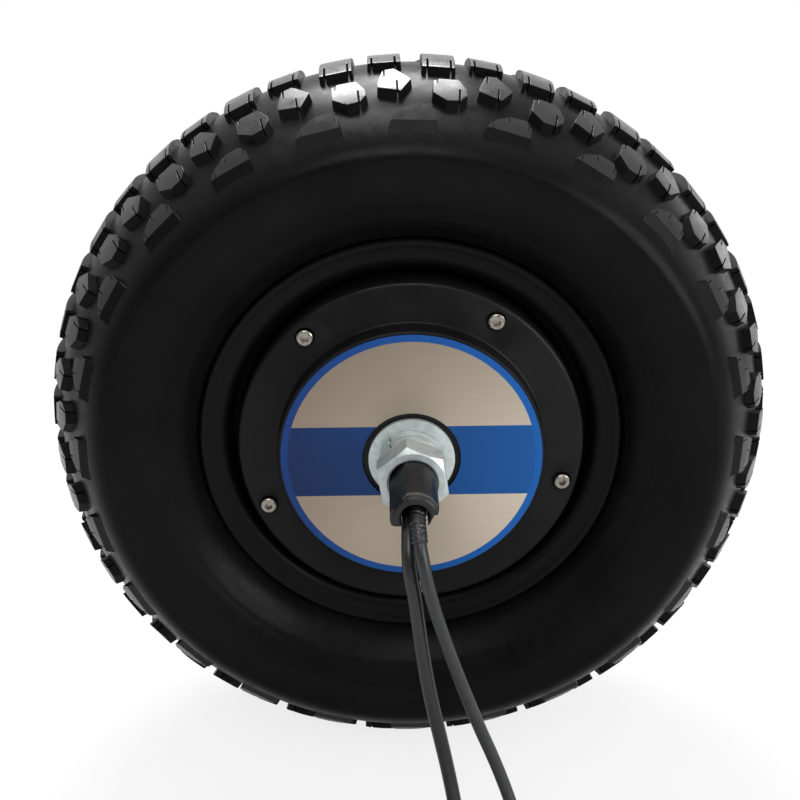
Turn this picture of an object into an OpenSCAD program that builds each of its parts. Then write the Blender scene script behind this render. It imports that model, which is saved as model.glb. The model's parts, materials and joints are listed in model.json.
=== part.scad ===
// Robot drive wheel: a hub motor in a cast rim with an air-filled off-road tyre.
// Millimetres. The wheel turns about Y, the cable side faces -Y and +Z is up.
// The origin is the middle of the wheel, on the axle's line.

/* [Tyre] */
// Diameter over the tread blocks
tyre_d = 399; // [380:1:420]
// Width of the casing at its widest
tyre_w = 134; // [130:1:140]
// Width over the shoulder blocks
tread_w = 113; // [110:1:116]
// Height of the tread blocks above the casing
block_h = 6; // [4:0.5:7]
// Radius of the crown across the tread
crown_r = 78; // [72:1:90]
// Thickness of the casing
casing_t = 7; // [5:0.5:9]
// Number of tread pitches round the tyre
pitches = 24; // [20:1:26]
// Width of a shoulder block
lug_w = 22; // [20:1:26]
// Width of a hexagonal block
hex_w = 16.5; // [15:0.5:18]
// Length of a centre block round the tyre
rib_w = 16.5; // [14:0.5:18]

/* [Rim] */
// Diameter of the bead seats
bead_d = 203.2; // [200:0.1:206]
// Distance between the rim's flanges
rim_w = 73; // [69:1:76]
// Diameter over the rim's flanges
flange_d = 229; // [226:1:233]
// Thickness of the rim's barrel at the bead seats
barrel_t = 3.6; // [3:0.1:4]
// Depth of the front groove's floor from the middle plane
front_web_z = 22; // [16:1:26]
// Depth of the rear groove's floor from the middle plane
rear_web_z = 18; // [14:1:22]
// Width of the front groove between the barrel and the drum
front_groove_w = 5; // [4:0.5:6]
// Width of the rear groove between the barrel and the drum
rear_groove_w = 13; // [11:0.5:14]

/* [Motor] */
// Thickness of the drum's wall at its front
drum_t = 13; // [12:0.5:14]
// Thickness of the steel ring behind the magnets
back_iron_t = 4; // [3:0.5:5]
// Thickness of a magnet
magnet_t = 3; // [2:0.5:4]
// Number of magnets
magnets = 30; // [20:2:40]
// Gap between magnets and stator
air_gap = 1; // [0.7:0.1:1.5]
// Number of stator slots
slots = 36; // [30:3:36]
// Length of the stator stack
stack_l = 48; // [40:1:50]
// Width of a stator tooth
tooth_w = 4; // [3.5:0.1:4.2]

/* [Cover] */
// Depth of the drum's front end from the middle plane
drum_end_z = 38; // [36:0.5:39]
// Depth of the cover's screw face from the middle plane
screw_face_z = 46.5; // [45:0.5:49]
// Width of the cover's screw flange, from the raised boss to the edge
cover_flange_w = 22.2; // [20:0.2:23]
// Distance of the screws from the cover's edge
screw_inset = 8.8; // [8:0.2:10]
// Number of cover screws
screws = 5; // [4:1:8]
// Thread diameter of a cover screw
screw_d = 5; // [4:1:5]
// Distance of the round label from the boss's edge
label_inset = 1.8; // [1.2:0.2:5]

/* [Bearings and seals] */
// Bore of the bearings and diameter of the journals
journal_d = 30; // [29:0.5:31]
// Outer diameter of the bearings
bearing_od = 62; // [60:1:64]
// Width of the bearings
bearing_w = 16; // [14:1:16]
// Depth of the bearings' inner faces from the middle plane
bearing_z = 33; // [32.5:0.5:34]
// Balls in each bearing
balls = 9; // [7:1:9]
// Diameter of a ball
ball_d = 9; // [8:0.5:9.5]
// Outer diameter of the shaft seals
seal_od = 52; // [48:1:54]

/* [Axle] */
// Thread diameter of the axle's ends
thread_d = 24; // [22:1:25]
// Diameter of the axle's plain rear end beyond the nut
end_d = 22; // [20:0.1:23]
// Length of the axle
axle_l = 251; // [244:1:264]
// Depth of the shoulders that carry the washers
shoulder_z = 57.5; // [57:0.5:60]
// Depth of the flat on the thread
flat_t = 2; // [1:0.25:2.5]
// Bore for the cables in the axle's front end
cable_bore = 15; // [14:0.5:15.5]
// Length of the opening under the cables
relief_l = 22; // [14:1:26]

/* [Nuts and washers] */
// Width of the nuts across their flats
nut_af = 36; // [34:1:38]
// Height of the nuts
nut_h = 21; // [17:0.5:24]
// Diameter of the flat washers
washer_d = 45.6; // [42:0.2:50]
// Thickness of the flat washers
washer_t = 3; // [3:0.5:5]
// Outer diameter of the spring washers
spring_d = 40; // [37:0.5:42]
// Thickness of the spring washers
spring_t = 5; // [4:0.5:6]

/* [Cables] */
// Diameter of the power cable
power_d = 7.2; // [6.6:0.2:7.4]
// Diameter of the sensor cable
sensor_d = 6.4; // [5.8:0.2:6.6]
// Diameter of the power plug
power_plug_d = 15; // [12:1:18]
// Length of the power plug
power_plug_l = 38; // [30:1:45]

/* [Hidden] */
$fn = 96;

// Clearances: a pressed or seated pair, and a part that turns past another
seat = 0.03;
track_gap = 0.35;

black_rubber = [0.07, 0.07, 0.07];
black_paint = [0.09, 0.09, 0.095];
zinc = [0.78, 0.8, 0.82];
steel = [0.55, 0.56, 0.58];
stainless = [0.7, 0.7, 0.7];

// Everything round is drawn as it lies on a bench, cable side up, and then stood on its tread.
module stand() { rotate([90, 0, 0]) children(); }
module rear_side() { mirror([0, 0, 1]) children(); }
module ring(outer_r, inner_r, z0, z1) {
    translate([0, 0, z0]) difference() {
        cylinder(r = outer_r, h = z1 - z0);
        translate([0, 0, -1]) cylinder(r = inner_r, h = z1 - z0 + 2);
    }
}

function backwards(p) = [for (i = [len(p) - 1 : -1 : 0]) p[i]];
function other_side(p) = [for (q = p) [q[0], -q[1]]];
function inner_points(p) = [for (i = [1 : len(p) - 2]) p[i]];
// Both halves of an outline whose first and last points lie on the middle plane
function both_halves(p) = concat(p, other_side(backwards(inner_points(p))));
function bezier(a, b, c, d, n) = [for (i = [0 : n]) let (t = i / n)
    pow(1 - t, 3) * a + 3 * pow(1 - t, 2) * t * b + 3 * (1 - t) * t * t * c + t * t * t * d];

// Tyre outline, as points of radius and depth
tyre_r = tyre_d / 2;
bead_r = bead_d / 2;
flange_r = flange_d / 2;
rim_half = rim_w / 2;
half_w = tyre_w / 2;
tread_half = tread_w / 2;
casing_r = tyre_r - block_h;
crown_half = tread_half - 14.5;
widest_r = (tyre_r + bead_r) / 2 + 8;
wall_h = widest_r - flange_r;
bead_toe_z = rim_half - 12.5;
// Radius at a depth, on an arc about the tread's own centre whose top is at the given radius
function crown(top, d) = let (r = crown_r - tyre_r + top) top - r + sqrt(r * r - d * d);
crown_depths = [for (i = [0 : 3]) crown_half * i / 3];
shoulder_r = crown(casing_r, crown_half);
inner_crown_z = crown_half - 6;
inner_crown_r = crown(casing_r - casing_t, inner_crown_z);
upper_wall = bezier([shoulder_r, crown_half], [shoulder_r - 5.2, crown_half + 7.3],
    [widest_r + (shoulder_r - widest_r) * 0.4, half_w - 0.8], [widest_r, half_w], 6);
lower_wall = bezier([widest_r, half_w], [widest_r - wall_h * 0.48, half_w],
    [flange_r + 4, rim_half + 15], [flange_r + 0.9, rim_half + 5.5], 7);
bead = [[flange_r + 0.5, rim_half + 0.3], [flange_r - 0.9, rim_half - seat],
    [bead_r + 1.1, rim_half - seat], [bead_r + seat, rim_half - 1.1],
    [bead_r + seat, bead_toe_z], [bead_r + 3.5, bead_toe_z - 1.5]];
inner_lower = bezier([bead_r + 3.5, bead_toe_z - 1.5], [flange_r, rim_half - 1],
    [widest_r - wall_h * 0.59, half_w - casing_t], [widest_r, half_w - casing_t], 7);
inner_upper = bezier([widest_r, half_w - casing_t],
    [widest_r + (inner_crown_r - widest_r) * 0.45, half_w - casing_t],
    [inner_crown_r - 4.6, inner_crown_z + 7.5], [inner_crown_r, inner_crown_z], 5);
tyre_half = concat([for (d = crown_depths) [crown(casing_r, d), d]],
    inner_points(upper_wall), lower_wall, bead, inner_points(inner_lower), inner_upper,
    [for (i = [2, 1, 0]) let (d = inner_crown_z * i / 3) [crown(casing_r - casing_t, d), d]]);

// Space that the tread blocks fill: from inside the casing to the tread and the shoulders' faces
lug_top_r = crown(tyre_r, tread_half);
lug_foot_r = widest_r;
tread_half_outline = concat(
    [for (d = crown_depths) [crown(tyre_r, d), d]],
    [[lug_top_r, tread_half], [lug_foot_r, half_w - 0.6], [lug_foot_r - 3, half_w - casing_t / 2],
     [lug_top_r - 4.5, tread_half - 5], [crown(casing_r - casing_t / 2, crown_half - 8), crown_half - 8],
     [crown(casing_r - casing_t / 2, crown_half / 2), crown_half / 2],
     [casing_r - casing_t / 2, 0]]);

// Block outlines, as points along the tread (clockwise from the cable side) and depth
lug_back_z = tread_half - 7;
lug_outline = [[-lug_w / 2, half_w + 1], [lug_w / 2, half_w + 1], [lug_w / 2, lug_back_z + 3.3],
    [lug_w * 0.36, lug_back_z], [0, lug_back_z + 0.3], [-lug_w * 0.39, lug_back_z + 4.2],
    [-lug_w / 2, lug_back_z + 7.3]];
outer_hex = [[-hex_w / 2, 35.5], [-hex_w * 0.31, 33.8], [hex_w * 0.24, 33.5], [hex_w / 2, 40.2],
    [hex_w / 2, 43.6], [hex_w * 0.32, 46.6], [-hex_w * 0.09, 47.2], [-hex_w / 2, 43.2]];
inner_hex = [[-hex_w / 2, 36.8], [-hex_w * 0.33, 26.3], [0, 25.2], [hex_w / 2, 34.7],
    [hex_w * 0.19, 42.4], [-hex_w / 2, 39.5]];
rib_front_z = 22.5;
rib_rear_z = 16.5;
rib_outline = [[-rib_w / 2, -rib_rear_z], [rib_w / 2, -rib_rear_z], [rib_w / 2, rib_front_z],
    [-rib_w / 2, rib_front_z]];
outer_hex_turn = 5.6;
inner_hex_turn = -2.6;
rib_turn = 3.95;
pitch_a = 360 / pitches;

module tread_block(clockwise, outline) {
    rotate([0, 0, 90 - clockwise]) translate([lug_foot_r - 8, 0, 0]) rotate([90, 0, 90])
        linear_extrude(tyre_r) polygon([for (p = outline) [-p[0], p[1]]]);
}
module tread_side() {
    for (k = [0 : pitches - 1]) {
        tread_block(k * pitch_a, lug_outline);
        tread_block(k * pitch_a + outer_hex_turn, outer_hex);
        tread_block(k * pitch_a + inner_hex_turn, inner_hex);
        tread_block(k * pitch_a + rib_turn, rib_outline);
    }
}
module tyre() {
    color(black_rubber) stand() {
        rotate_extrude() polygon(both_halves(tyre_half));
        intersection() {
            rotate_extrude() polygon(both_halves(tread_half_outline));
            union() {
                tread_side();
                rotate([180, 0, 0]) tread_side();
            }
        }
    }
}

// Rim and motor drum in one casting, outline from the front of the drum's bore round the barrel
barrel_in_r = bead_r - barrel_t;
cover_r = barrel_in_r - front_groove_w;
drum_bore_r = cover_r - drum_t;
rear_drum_r = barrel_in_r - rear_groove_w;
well_r = bead_r - 2;
lip_z = rim_half + 5;
bearing_r = bearing_od / 2;
bearing_out_z = bearing_z + bearing_w;
housing_r = bearing_r + 5;
seal_r = seal_od / 2;
lip_t = 1.5;
seal_floor_z = bearing_out_z + lip_t;
seal_lip_r = seal_r - 2;
boss_z = shoulder_z + 1.1;
rear_boss_z = shoulder_z - 0.5;
rear_wall_z = 44;
rear_wall_t = 6.5;
flange_front = [[barrel_in_r - 0.5, front_web_z - 1.5], [barrel_in_r, front_web_z + 4],
    [barrel_in_r + 0.3, rim_half - 4], [barrel_in_r + 1.2, rim_half + 0.2],
    [barrel_in_r + 3.2, rim_half + 2.2], [barrel_in_r + 6.5, rim_half + 3.2], [flange_r - 6, lip_z - 1.2],
    [flange_r - 4.6, lip_z - 0.6], [flange_r - 3.4, lip_z], [flange_r - 1.6, lip_z],
    [flange_r - 0.4, lip_z - 1], [flange_r, lip_z - 2.4], [flange_r - 0.4, rim_half + 1],
    [flange_r - 1.4, rim_half]];
barrel_front = [[bead_r + 1, rim_half], [bead_r, rim_half - 1], [bead_r, bead_toe_z - 0.5],
    [bead_r + 1.2, bead_toe_z - 2], [well_r, bead_toe_z - 5]];
flange_rear = other_side(backwards(flange_front));
barrel_rear = other_side(backwards(barrel_front));
rim_outline = concat(
    [[drum_bore_r, drum_end_z], [cover_r, drum_end_z], [cover_r, front_web_z + 1],
     [cover_r + 1, front_web_z - 0.5]],
    flange_front, barrel_front, barrel_rear, flange_rear,
    [[rear_drum_r + 2, -rear_web_z], [rear_drum_r, -rear_web_z - 2],
     [rear_drum_r, 4 - rear_wall_z], [rear_drum_r - 4, -rear_wall_z],
     [housing_r + 6, -rear_wall_z], [housing_r + 1, -rear_boss_z + 2],
     [housing_r - 1, -rear_boss_z], [seal_r, -rear_boss_z], [seal_r, -seal_floor_z],
     [seal_lip_r, -seal_floor_z], [seal_lip_r, -bearing_out_z], [bearing_r, -bearing_out_z],
     [bearing_r, -bearing_z], [housing_r, -bearing_z], [housing_r, rear_wall_t - rear_wall_z],
     [drum_bore_r, rear_wall_t - rear_wall_z]]);

// Cover screws
screw_turn = 58.8;
screw_hole_r = screw_d / 2 + 0.25;
screw_head_r = screw_d * 0.85;
screw_head_z = screw_face_z - 2.5;
screw_l = 18;
sink_r = screw_head_r + 0.8;
module at_screws() {
    for (k = [0 : screws - 1]) rotate([0, 0, screw_turn + k * 360 / screws])
        translate([cover_r - screw_inset, 0, 0]) children();
}

// Air valve in the rear groove: through the barrel, then bent to the rear
valve_turn = 200;
valve_r = 4;
valve_z = 5;
valve_axis_r = (rear_drum_r + barrel_in_r) / 2;
valve_base_r = 8;
valve_end_z = 41;
valve_bore_r = 1.2;
valve_core_r = 2.4;
valve_core_l = 18;
cap_l = 9;
module at_valve() { rotate([0, 0, valve_turn]) children(); }

// Cooling and stiffening ribs on the drum's rear wall
ribs = 10;
rib_t = 4;
rib_root_z = rear_boss_z - 4;
module rear_rib() {
    rotate([90, 0, 0]) linear_extrude(rib_t, center = true) polygon([
        [housing_r - 2, 1 - rear_wall_z], [housing_r - 2, -rib_root_z], [housing_r + 2, -rib_root_z],
        [rear_drum_r - 7, -rear_wall_z - 2.5], [rear_drum_r - 5, 1 - rear_wall_z]]);
}
module rim() {
    color(black_paint) stand() difference() {
        union() {
            rotate_extrude() polygon(rim_outline);
            for (k = [0 : ribs - 1]) rotate([0, 0, (k + 0.5) * 360 / ribs]) rear_rib();
        }
        at_screws() translate([0, 0, screw_head_z - screw_l - 2])
            cylinder(r = screw_d / 2 + seat, h = screw_l);
        at_valve() {
            translate([rear_drum_r, -valve_base_r, -rear_web_z - 5])
                cube([barrel_in_r - rear_drum_r - 0.5, 2 * valve_base_r, rear_web_z + 5]);
            translate([valve_axis_r, 0, -valve_z]) rotate([0, 90, 0])
                cylinder(r = valve_r + seat, h = well_r - valve_axis_r + 4);
        }
    }
}
module valve_stem() {
    color(steel) stand() at_valve() translate([valve_axis_r, 0, -valve_z]) {
        difference() {
            union() {
                rotate([0, 90, 0]) cylinder(r = valve_r, h = well_r - valve_axis_r + 1);
                sphere(r = valve_r);
                translate([0, 0, valve_z - valve_end_z]) cylinder(r = valve_r, h = valve_end_z - valve_z);
                translate([well_r - valve_axis_r + seat, 0, 0]) rotate([0, 90, 0])
                    cylinder(r1 = valve_base_r, r2 = valve_base_r - 2, h = 2.5);
            }
            translate([0, 0, valve_z - valve_end_z - 1])
                cylinder(r = valve_core_r + seat, h = valve_core_l + 1);
            translate([0, 0, valve_z - valve_end_z])
                cylinder(r = valve_bore_r, h = valve_end_z - valve_z);
            rotate([0, 90, 0]) cylinder(r = valve_bore_r, h = well_r);
        }
    }
}
module valve_core() {
    color("gold") stand() at_valve() translate([valve_axis_r, 0, -valve_end_z]) {
        cylinder(r = valve_core_r, h = valve_core_l - 6);
        translate([0, 0, -0.8]) cylinder(r = 0.8, h = valve_core_l);
    }
}
module valve_cap() {
    color(black_rubber) stand() at_valve() translate([valve_axis_r, 0, -valve_end_z - 1.5]) difference() {
        union() {
            cylinder(r = valve_r + 1.2, h = cap_l);
            for (k = [0 : 11]) rotate([0, 0, k * 30]) translate([valve_r + 1.2, 0, 0])
                cylinder(r = 0.35, h = cap_l - 1);
        }
        translate([0, 0, 0.5]) cylinder(r = valve_r + seat, h = cap_l);
    }
}

// Magnet ring
magnet_out_r = drum_bore_r - seat - back_iron_t;
magnet_in_r = magnet_out_r - seat - magnet_t;
magnet_half = stack_l / 2 + 1;
magnet_gap_a = 1.6;
magnet_a = 360 / magnets;
module back_iron_ring() {
    color(steel) stand() ring(drum_bore_r - seat, magnet_out_r, -magnet_half - 1, magnet_half + 1);
}
module magnets() {
    color([0.62, 0.63, 0.65]) stand() for (k = [0 : magnets - 1])
        rotate([0, 0, k * magnet_a]) translate([0, 0, -magnet_half])
            rotate_extrude(angle = magnet_a - magnet_gap_a)
                translate([magnet_in_r, 0]) square([magnet_t, 2 * magnet_half]);
}

// Front cover: screw flange, spigot, raised boss and bearing housing in one
boss_r = cover_r - cover_flange_w;
cover_chamfer = 2.6;
spigot_z = drum_end_z - 4;
cover_wall = 5;
o_ring_r = 0.95;
cover_outline = [
    [housing_r, bearing_z], [housing_r, boss_z - cover_wall],
    [boss_r - cover_wall - 3, boss_z - cover_wall],
    [boss_r - cover_wall, boss_z - cover_wall - 3], [boss_r - cover_wall, screw_face_z - cover_wall],
    [drum_bore_r - 4, screw_face_z - cover_wall], [drum_bore_r - 4, spigot_z],
    [drum_bore_r - seat, spigot_z], [drum_bore_r - seat, drum_end_z + seat],
    [cover_r, drum_end_z + seat], [cover_r, screw_face_z - cover_chamfer],
    [cover_r - cover_chamfer * 0.3, screw_face_z - cover_chamfer * 0.3],
    [cover_r - cover_chamfer, screw_face_z],
    [boss_r + 1.6, screw_face_z], [boss_r + 0.5, screw_face_z + 0.5], [boss_r, screw_face_z + 1.6],
    [boss_r, boss_z - 0.9], [boss_r - 0.9, boss_z],
    [seal_r, boss_z], [seal_r, seal_floor_z], [seal_lip_r, seal_floor_z],
    [seal_lip_r, bearing_out_z], [bearing_r, bearing_out_z], [bearing_r, bearing_z]];
module front_cover() {
    color(black_paint) stand() difference() {
        rotate_extrude() polygon(cover_outline);
        at_screws() {
            translate([0, 0, spigot_z - 1]) cylinder(r = screw_hole_r, h = screw_face_z);
            translate([0, 0, screw_head_z]) cylinder(r = sink_r, h = screw_face_z);
        }
        translate([0, 0, (spigot_z + drum_end_z) / 2]) rotate_extrude()
            translate([drum_bore_r - 2 * o_ring_r, -o_ring_r]) square([2 * o_ring_r + 1, 2 * o_ring_r]);
    }
}
module cover_screws() {
    color(stainless) stand() at_screws() difference() {
        union() {
            translate([0, 0, screw_head_z - screw_l]) cylinder(r = screw_d / 2, h = screw_l + 0.5);
            translate([0, 0, screw_head_z + seat]) cylinder(r = screw_head_r, h = screw_d - 0.5);
            translate([0, 0, screw_head_z + screw_d - 0.5])
                cylinder(r1 = screw_head_r, r2 = screw_head_r - 0.5, h = 0.5);
        }
        translate([0, 0, screw_head_z + screw_d / 2]) cylinder(r = screw_d * 0.46, h = screw_d, $fn = 6);
    }
}
module cover_o_ring() {
    color(black_rubber) stand() translate([0, 0, (spigot_z + drum_end_z) / 2]) rotate_extrude()
        translate([drum_bore_r - o_ring_r - seat, 0]) circle(r = o_ring_r - seat, $fn = 32);
}
label_t = 0.4;
module label() {
    color([0.62, 0.58, 0.53]) stand() ring(boss_r - label_inset, seal_r, boss_z, boss_z + label_t);
}

// Bearings, drawn at the front; the rear ones are their mirror images
ball_r = ball_d / 2;
ball_track_r = (bearing_r + journal_d / 2) / 2;
bearing_mid_z = bearing_z + bearing_w / 2;
race_step = 2.7;
cage_half_t = 1.5;
cage_half_w = ball_r + 1;
module outer_race() {
    color(steel) difference() {
        ring(bearing_r - seat, ball_track_r + race_step, bearing_z, bearing_out_z - seat);
        translate([0, 0, bearing_mid_z]) rotate_extrude()
            translate([ball_track_r, 0]) circle(r = ball_r + seat);
    }
}
module inner_race() {
    color(steel) difference() {
        ring(ball_track_r - race_step, journal_d / 2 + seat, bearing_z + seat, bearing_out_z);
        translate([0, 0, bearing_mid_z]) rotate_extrude()
            translate([ball_track_r, 0]) circle(r = ball_r + track_gap);
    }
}
module at_balls() {
    for (k = [0 : balls - 1]) rotate([0, 0, k * 360 / balls])
        translate([ball_track_r, 0, bearing_mid_z]) children();
}
module ball_set() { color(stainless) at_balls() sphere(r = ball_r); }
module cage() {
    color([0.75, 0.6, 0.3]) difference() {
        ring(ball_track_r + cage_half_t, ball_track_r - cage_half_t,
            bearing_mid_z - cage_half_w, bearing_mid_z + cage_half_w);
        at_balls() rotate([0, 90, 0]) cylinder(r = ball_r + seat, h = ball_d, center = true);
    }
}
seal_out_z = shoulder_z - 1;
module shaft_seal() {
    color(black_rubber) rotate_extrude() polygon([
        [seal_r - seat, seal_floor_z + seat], [seal_r - seat, seal_out_z],
        [journal_d / 2 + 3, seal_out_z], [journal_d / 2 + track_gap, seal_out_z - 2],
        [journal_d / 2 + track_gap, seal_floor_z + 2], [journal_d / 2 + 2.5, seal_floor_z + 1],
        [journal_d / 2 + 3.5, seal_out_z - 1.6], [seal_r - 2, seal_out_z - 1.6],
        [seal_r - 2, seal_floor_z + seat]]);
}
module front_outer_race() { stand() outer_race(); }
module rear_outer_race() { stand() rear_side() outer_race(); }
module front_inner_race() { stand() inner_race(); }
module rear_inner_race() { stand() rear_side() inner_race(); }
module front_balls() { stand() ball_set(); }
module rear_balls() { stand() rear_side() ball_set(); }
module front_cage() { stand() cage(); }
module rear_cage() { stand() rear_side() cage(); }
module front_seal() { stand() shaft_seal(); }
module rear_seal() { stand() rear_side() shaft_seal(); }
module sensor_magnet_ring() {
    color([0.3, 0.3, 0.32]) stand() ring(housing_r + 4, housing_r + seat, bearing_z + 2.5, bearing_z + 7);
}

// Axle: journals between the shoulders, threaded ends, cable bore and relief at the front
core_half = stack_l / 2;
board_z = core_half + 6.4;
board_t = 1.6;
axle_half = axle_l / 2;
washer_z = shoulder_z + washer_t;
spring_z = washer_z + spring_t;
nut_z = spring_z + nut_h;
thread_end_z = nut_z + 1.5;
thread_r = thread_d / 2;
end_r = end_d / 2;
body_r = journal_d / 2 + 3;
end_chamfer = 1.5;
flat_turn = 143;
relief_turn = -26;
lead_r = 3;
lead_hole_r = lead_r + 0.5;
lead_z = (core_half + board_z) / 2;
relief_z = axle_half - relief_l;
relief_drop = 4;
grommet_l = 9;
grommet_end_z = relief_z - 2;
grommet_z = grommet_end_z - grommet_l;
bore_floor_z = grommet_z - 6.5;
key_w = 8;
key_h = 7;
key_l = 34;
key_floor = body_r - 4;
module key_block(clear) {
    translate([-key_w / 2 - clear, key_floor, -key_l / 2 - clear])
        cube([key_w + 2 * clear, key_h + clear, key_l + 2 * clear]);
}
module axle_end(r, z0) {
    translate([0, 0, z0]) cylinder(r = r, h = axle_half - z0 - end_chamfer);
    translate([0, 0, axle_half - end_chamfer]) cylinder(r1 = r, r2 = r - end_chamfer, h = end_chamfer);
}
module thread_flat(z1) {
    rotate([0, 0, flat_turn]) translate([thread_r - flat_t, -thread_r, shoulder_z])
        cube([thread_d, thread_d, z1 - shoulder_z]);
}
module axle_shaft() {
    color([0.13, 0.13, 0.135]) stand() difference() {
        union() {
            cylinder(r = journal_d / 2, h = 2 * shoulder_z, center = true);
            cylinder(r = body_r, h = 2 * bearing_z, center = true);
            axle_end(thread_r, shoulder_z - 1);
            rear_side() {
                translate([0, 0, shoulder_z - 1]) cylinder(r = thread_r, h = thread_end_z - shoulder_z + 1);
                axle_end(end_r, thread_end_z);
            }
        }
        key_block(0);
        thread_flat(axle_half + 1);
        rear_side() thread_flat(thread_end_z);
        translate([0, 0, bore_floor_z]) cylinder(r = cable_bore / 2, h = axle_half);
        translate([0, 0, lead_z]) cylinder(r = lead_hole_r, h = axle_half);
        translate([0, lead_hole_r, lead_z]) rotate([90, 0, 0])
            cylinder(r = lead_hole_r, h = body_r + lead_hole_r + 1);
        translate([-thread_r - 1, -thread_r - 1, relief_z])
            cube([thread_d + 2, thread_r + 1 - relief_drop, relief_l + 1]);
        rotate([0, 0, relief_turn]) translate([cable_bore / 2, -thread_r, (relief_z + axle_half) / 2])
            cube([thread_d, thread_d, relief_l]);
    }
}

// Stator
stator_r = magnet_in_r - air_gap;
shoe_t = 2;
shoe_in_r = stator_r - shoe_t;
coil_out_r = shoe_in_r - 0.8;
coil_in_r = stator_r - 19.5;
yoke_out_r = coil_in_r - 0.5;
yoke_in_r = yoke_out_r - 7;
slot_a = 360 / slots;
shoe_w = 2 * stator_r * sin(slot_a / 2) - 2.6;
hub_ring_r = yoke_in_r - seat;
hub_r = body_r + 8;
post_r = 3;
hub_half = core_half - 2;
post_turns = [90, 210, 330];
post_at_r = hub_ring_r - 2.5;
board_screw_r = 1.25;
board_screw_l = 6;
module stator_key() { color(steel) stand() key_block(-seat); }
module stator_hub() {
    color([0.7, 0.71, 0.72]) stand() difference() {
        union() {
            ring(hub_ring_r, hub_ring_r - 5, -hub_half, hub_half);
            ring(hub_r, body_r + seat, -hub_half, hub_half);
            ring(hub_ring_r - 4, hub_r - 1, -5, 5);
            for (a = post_turns) rotate([0, 0, a]) translate([post_at_r, 0, 0])
                cylinder(r = post_r, h = board_z);
        }
        key_block(seat);
        for (k = [0 : 5]) rotate([0, 0, k * 60]) translate([(hub_r + hub_ring_r - 5) / 2, 0, -6])
            cylinder(r = (hub_ring_r - 5 - hub_r) * 0.29, h = 12);
        for (a = post_turns) rotate([0, 0, a]) translate([post_at_r, 0, board_z - board_screw_l - 2])
            cylinder(r = board_screw_r + seat, h = board_screw_l + 3);
        difference() {
            translate([0, 0, -core_half]) cylinder(r = hub_ring_r + 5, h = 2 * board_z);
            translate([0, 0, -core_half - 1]) cylinder(r = hub_ring_r, h = 2 * board_z + 2);
        }
    }
}
module stator_core() {
    color([0.45, 0.46, 0.48]) stand() translate([0, 0, -core_half]) linear_extrude(stack_l) difference() {
        union() {
            circle(r = yoke_out_r);
            for (k = [0 : slots - 1]) rotate([0, 0, k * slot_a]) {
                translate([yoke_out_r - 1, -tooth_w / 2])
                    square([shoe_in_r - yoke_out_r + 1.5, tooth_w]);
                intersection() {
                    polygon([[shoe_in_r - 0.3, -tooth_w / 2], [shoe_in_r + 0.6, -shoe_w / 2],
                        [stator_r + 1, -shoe_w / 2], [stator_r + 1, shoe_w / 2],
                        [shoe_in_r + 0.6, shoe_w / 2], [shoe_in_r - 0.3, tooth_w / 2]]);
                    circle(r = stator_r);
                }
            }
        }
        circle(r = yoke_in_r);
    }
}
coil_gap = 0.15;
coil_w = 2 * coil_in_r * sin(slot_a / 2) - 0.4;
coil_half = core_half + 4.5;
module windings() {
    color([0.72, 0.4, 0.2]) stand() for (k = [0 : slots - 1]) rotate([0, 0, k * slot_a]) difference() {
        translate([coil_in_r, -coil_w / 2, -coil_half])
            cube([coil_out_r - coil_in_r, coil_w, 2 * coil_half]);
        translate([coil_in_r - 1, -tooth_w / 2 - coil_gap, -core_half - coil_gap])
            cube([coil_out_r - coil_in_r + 2, tooth_w + 2 * coil_gap, stack_l + 2 * coil_gap]);
    }
}
board_out_r = coil_in_r + 8;
sensor_turns = [35, 50, 65];
board_in_r = post_at_r - 9;
module sensor_board() {
    color([0.1, 0.35, 0.2]) stand() {
        difference() {
            ring(board_out_r, board_in_r, board_z, board_z + board_t);
            for (a = post_turns) rotate([0, 0, a]) translate([post_at_r, 0, board_z - 1])
                cylinder(r = board_screw_r + 0.2, h = board_t + 2);
        }
        for (a = sensor_turns) rotate([0, 0, a]) translate([hub_ring_r + 2, 0, board_z + board_t + 0.5])
            cube([4, 3, 1.4], center = true);
    }
}
module board_screws() {
    color(stainless) stand() for (a = post_turns) rotate([0, 0, a]) translate([post_at_r, 0, board_z]) {
        translate([0, 0, -board_screw_l]) cylinder(r = board_screw_r, h = board_screw_l + board_t + 0.5);
        translate([0, 0, board_t + seat]) cylinder(r = 2.2, h = 1.6);
    }
}
module inner_leads() {
    color([0.6, 0.15, 0.12]) stand() {
        translate([0, 0, lead_z]) cylinder(r = lead_r, h = grommet_z - lead_z);
        translate([0, 0, lead_z]) sphere(r = lead_r);
        translate([0, 0, lead_z]) rotate([90, 0, 0]) cylinder(r = lead_r, h = coil_in_r - seat);
    }
}

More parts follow.
